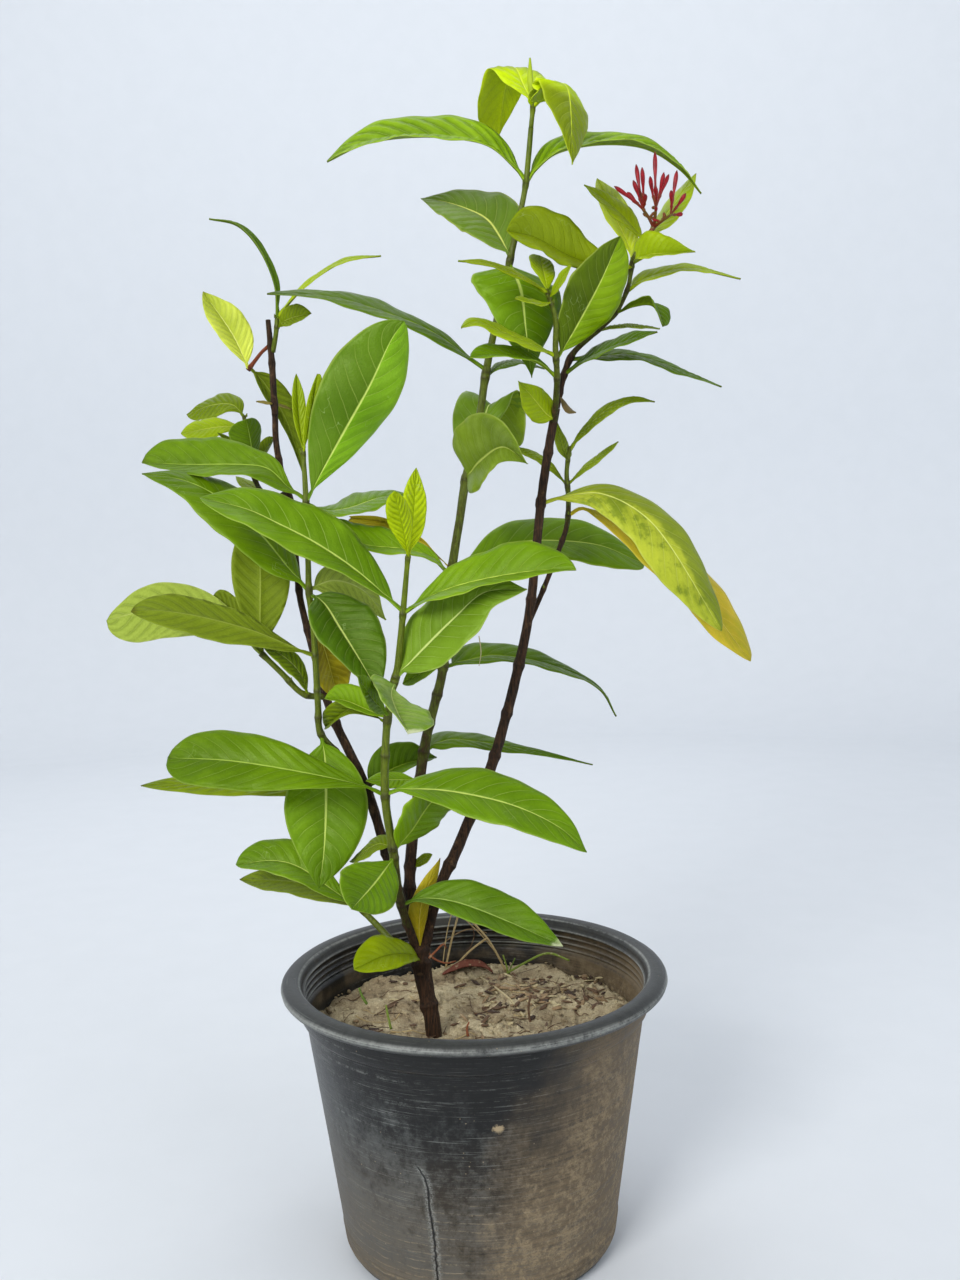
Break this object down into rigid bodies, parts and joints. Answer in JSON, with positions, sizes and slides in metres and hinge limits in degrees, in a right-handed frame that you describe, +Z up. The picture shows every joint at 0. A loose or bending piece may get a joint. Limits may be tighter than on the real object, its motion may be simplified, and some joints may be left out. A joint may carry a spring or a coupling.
{
  "type": "potted ixora",
  "caption": "Young ixora shrub with leaning stems, broad glossy leaves and a spray of slim red flower buds, growing in a black plastic nursery pot of soil.",
  "frame": {"origin": "centre of the pot's flat underside, on the ground", "axes": "+Z up; the front, as pictured, faces -Y; +X is the viewer's right"},
  "size_m": [0.4518, 0.26, 0.7788],
  "materials": {
    "pot_plastic": "worn charcoal-black plastic, dusty low down",
    "soil": "dry crumbly tan soil",
    "bark": "rough dark brown bark",
    "leaf_green": "glossy living leaf, pale veins",
    "leaf_young": "soft glossy young leaf, yellow-green",
    "leaf_yellow": "yellowing leaf",
    "bud_crimson": "satin dark crimson petals, closed",
    "straw": "dry pale straw",
    "dead_brown": "dry brown leaf litter"
  },
  "bodies": {
    "root": {"pot": "pot_plastic", "soil": "soil", "woody_stems": "bark", "crown_leaves": "leaf_young", "tall_shoot": "leaf_green", "inner_leaf": "leaf_green", "middle_shoot": "leaf_green", "branch_shoot": "leaf_green", "front_shoot": "leaf_green", "low_shoot": "leaf_green", "soil_leaf": "leaf_young", "upright_leaf": "leaf_yellow", "olive_leaf": "leaf_green", "pale_leaf": "leaf_yellow", "west_top_shoot": "leaf_green", "west_side_shoot": "leaf_green", "east_leafy_shoot": "leaf_green", "slim_shoot": "leaf_green", "mottled_leaf": "leaf_yellow", "yellow_leaf": "leaf_yellow", "flower_shoot": "leaf_green", "flower_buds": "bud_crimson", "dry_stalks": "straw", "fallen_stalk": "straw", "grass_blade": "leaf_green", "weed_sprout": "dead_brown", "dead_leaf": "dead_brown"}
  },
  "joints": []
}
